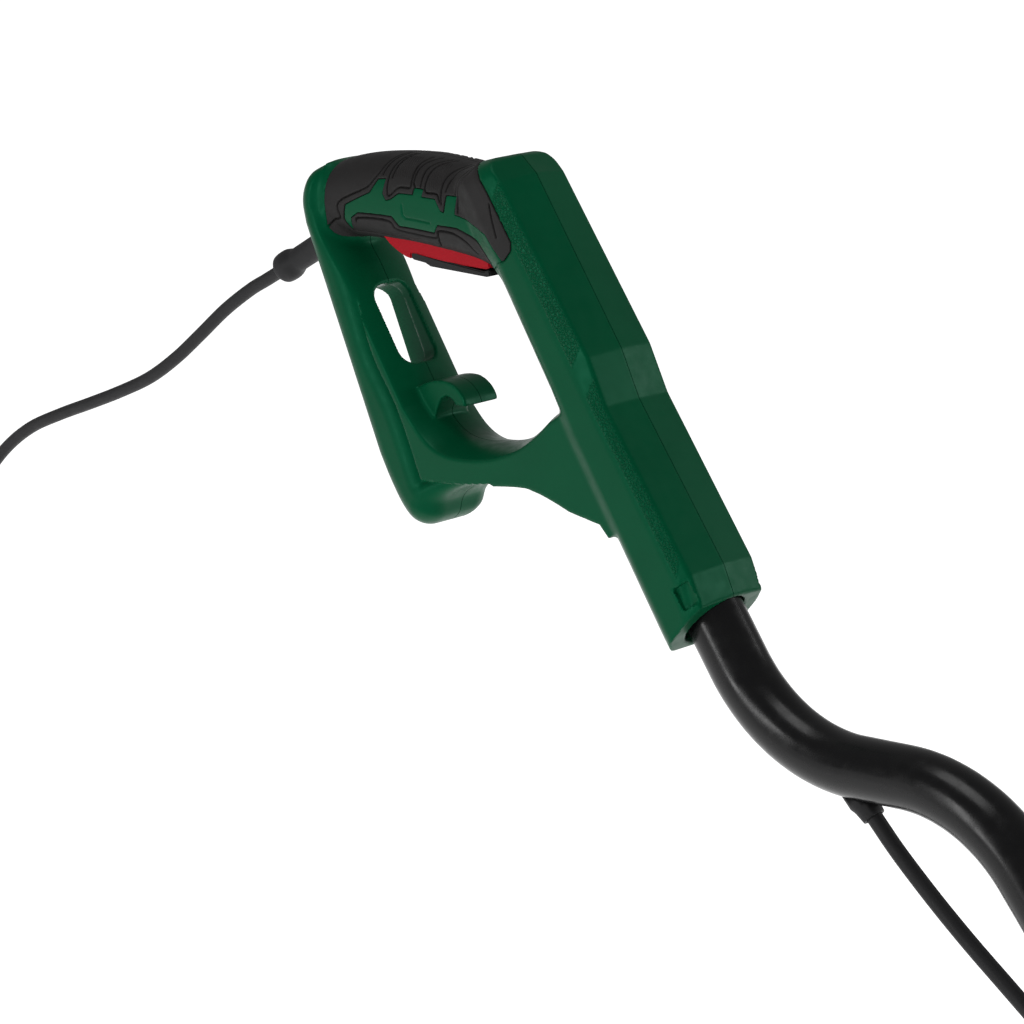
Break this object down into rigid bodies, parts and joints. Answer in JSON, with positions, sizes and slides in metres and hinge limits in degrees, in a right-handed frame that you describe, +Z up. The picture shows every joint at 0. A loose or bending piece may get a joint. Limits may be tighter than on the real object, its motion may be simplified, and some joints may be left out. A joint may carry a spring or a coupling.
{
  "type": "string trimmer",
  "caption": "Corded string trimmer: D handle with trigger and soft grip, bent shaft, loop handle, tilting motor head with bump-feed spool and guard.",
  "frame": {"origin": "centre of the rear grip, where a hand holds the tool", "axes": "+X forward to the cutting head, +Y to the user's left, +Z up, with the tool in its working position"},
  "size_m": [1.4053, 0.297, 0.91],
  "materials": {
    "green_plastic": "fine leather grain, satin",
    "soft_grip": "matt soft overmould",
    "red_plastic": "smooth satin",
    "black_plastic": "fine spark-eroded texture",
    "black_paint": "smooth gloss powder coat",
    "black_rubber": "smooth matt rubber",
    "steel": "zinc plated",
    "copper_winding": "enamelled copper wire",
    "cream_plastic": "moulded",
    "brass": "turned",
    "orange_nylon": "drawn nylon line"
  },
  "bodies": {
    "handle": {"housing_right": "green_plastic", "housing_left": "green_plastic", "housing_screw_1": "steel", "housing_screw_2": "steel", "housing_screw_3": "steel", "housing_screw_4": "steel", "housing_screw_5": "steel", "soft_grip_right": "soft_grip", "soft_grip_left": "soft_grip", "trigger_pin": "steel", "trigger_spring": "steel", "microswitch": "black_plastic", "capacitor": "cream_plastic", "mains_cord": "black_rubber", "cord_sleeve": "black_rubber", "cord_clamp": "black_plastic", "mains_plug": "black_rubber", "upper_shaft": "black_paint", "cable_grommet": "black_rubber", "motor_cable": "black_rubber", "lower_shaft": "black_paint", "coupling_screw_1": "steel", "shaft_coupling": "black_plastic", "cable_clip_1": "black_plastic", "cable_clip_2": "black_plastic", "handle_bracket": "black_plastic", "handle_bolt": "steel", "head_yoke": "black_plastic", "pivot_pin": "steel"},
    "trigger": {"trigger": "red_plastic", "trigger_pad": "soft_grip"},
    "plunger": {"switch_plunger": "red_plastic"},
    "loop_handle": {"auxiliary_handle": "black_plastic", "auxiliary_grip": "soft_grip"},
    "clamp_knob": {"handle_knob": "black_plastic"},
    "head": {"motor_housing_right": "green_plastic", "motor_housing_left": "green_plastic", "motor_screw_1": "steel", "motor_screw_2": "steel", "stator": "copper_winding", "upper_bearing": "steel", "lower_bearing": "steel", "guard": "black_plastic", "guard_screw_1": "steel", "guard_screw_2": "steel", "line_cutter": "steel"},
    "tilt_button": {"tilt_button": "red_plastic"},
    "spinner": {"rotor": "steel", "motor_shaft": "steel", "fan": "black_plastic", "spool_housing": "black_plastic", "spool_spring": "steel", "eyelet_1": "brass", "eyelet_2": "brass", "cutting_line_1": "orange_nylon", "cutting_line_2": "orange_nylon"},
    "spool": {"line_spool": "black_plastic", "wound_line": "orange_nylon", "bump_button": "black_plastic"},
    "plant_guard": {"plant_guard": "steel"}
  },
  "joints": [
    {"name": "trigger_pull", "type": "hinge", "parent": "handle", "child": "trigger", "pos_m": [-0.007, 0, -0.013], "axis": [0, -1, 0], "range_deg": [0, 4.5], "stiffness_Nm_per_rad": 3, "springref_deg": -2.29, "deforming": ["trigger_spring"]},
    {"name": "plunger_press", "type": "slide", "parent": "handle", "child": "plunger", "axis": [0, 0, 1], "range_m": [0, 0.003]},
    {"name": "loop_handle_tilt", "type": "hinge", "parent": "handle", "child": "loop_handle", "pos_m": [0.46601, 0, -0.27967], "axis": [0, 1, 0], "range_deg": [-30, 30]},
    {"name": "clamp_knob_turn", "type": "hinge", "parent": "handle", "child": "clamp_knob", "pos_m": [0.46601, 0, -0.27967], "axis": [0, 1, 0], "range_deg": [0, 720]},
    {"name": "head_tilt", "type": "hinge", "parent": "handle", "child": "head", "pos_m": [0.84088, 0, -0.74682], "axis": [0, 1, 0], "range_deg": [-30, 25]},
    {"name": "tilt_button_press", "type": "slide", "parent": "handle", "child": "tilt_button", "axis": [0, -1, 0], "range_m": [0, 0.004], "stiffness_N_per_m": 400, "springref_m": -0.002},
    {"name": "spool_spin", "type": "hinge", "parent": "head", "child": "spinner", "pos_m": [0.84088, 0, -0.80682], "axis": [0, 0, 1], "continuous": true},
    {"name": "spool_bump", "type": "slide", "parent": "spinner", "child": "spool", "axis": [0, 0, 1], "range_m": [0, 0.004], "stiffness_N_per_m": 800, "springref_m": -0.004, "deforming": ["spool_spring"]},
    {"name": "plant_guard_swing", "type": "hinge", "parent": "head", "child": "plant_guard", "pos_m": [0.84088, 0, -0.80482], "axis": [0, 1, 0], "range_deg": [-80, 0]}
  ],
  "couplings": [
    {"joint": "plunger_press", "follows": "trigger_pull", "m_per_rad": 0.037}
  ]
}
